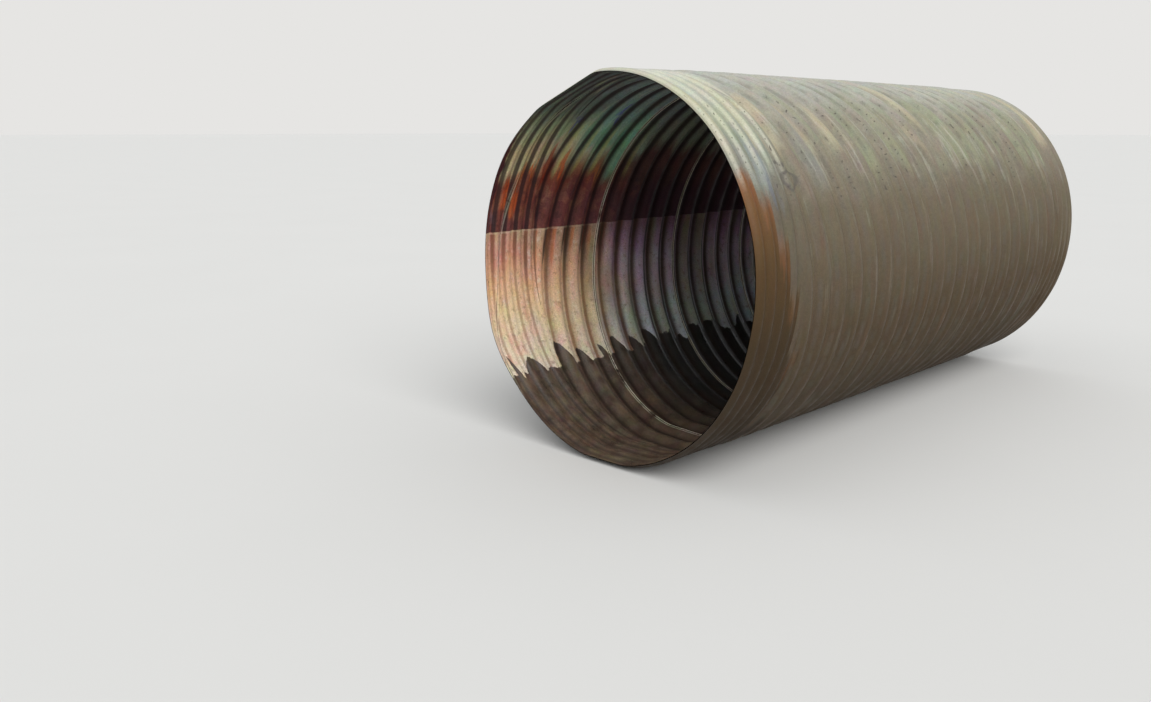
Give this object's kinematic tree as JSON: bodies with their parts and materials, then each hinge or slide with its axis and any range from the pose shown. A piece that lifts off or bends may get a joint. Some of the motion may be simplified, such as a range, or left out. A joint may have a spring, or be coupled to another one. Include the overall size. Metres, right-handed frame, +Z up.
{
  "type": "corrugated steel culvert pipe",
  "caption": "Helically corrugated galvanised steel culvert pipe with a lock seam and re-rolled ring-corrugated ends, rusted and silt-stained inside, with a dented mouth.",
  "frame": {"origin": "on the ground under the middle of the pipe, half way between its two ends", "axes": "+Z up, +Y along the pipe's axis from the dented mouth to the far end, +X to the right seen from the mouth"},
  "size_m": [1.497, 3.125, 1.6111],
  "materials": {
    "galvanised_steel": "weathered zinc with rust and dried silt"
  },
  "bodies": {
    "root": {"strip_1_crown": "galvanised_steel", "strip_1_invert": "galvanised_steel", "strip_1_left_shoulder": "galvanised_steel", "strip_1_left_wall": "galvanised_steel", "strip_1_right_haunch": "galvanised_steel", "strip_1_right_wall": "galvanised_steel", "strip_2_crown": "galvanised_steel", "strip_2_invert": "galvanised_steel", "strip_2_left_shoulder": "galvanised_steel", "strip_2_left_wall": "galvanised_steel", "strip_2_right_haunch": "galvanised_steel", "strip_2_right_wall": "galvanised_steel", "strip_3_crown": "galvanised_steel", "strip_3_invert": "galvanised_steel", "strip_3_left_shoulder": "galvanised_steel", "strip_3_left_wall": "galvanised_steel", "strip_3_right_haunch": "galvanised_steel", "strip_3_right_wall": "galvanised_steel", "strip_4_crown": "galvanised_steel", "strip_4_invert": "galvanised_steel", "strip_4_left_shoulder": "galvanised_steel", "strip_4_left_wall": "galvanised_steel", "strip_4_right_haunch": "galvanised_steel", "strip_4_right_wall": "galvanised_steel", "strip_5_crown": "galvanised_steel", "strip_5_invert": "galvanised_steel", "strip_5_left_shoulder": "galvanised_steel", "strip_5_left_wall": "galvanised_steel", "strip_5_right_haunch": "galvanised_steel", "strip_5_right_wall": "galvanised_steel", "strip_6_crown": "galvanised_steel", "strip_6_invert": "galvanised_steel", "strip_6_left_shoulder": "galvanised_steel", "strip_6_left_wall": "galvanised_steel", "strip_6_right_haunch": "galvanised_steel", "strip_6_right_wall": "galvanised_steel"}
  },
  "joints": []
}
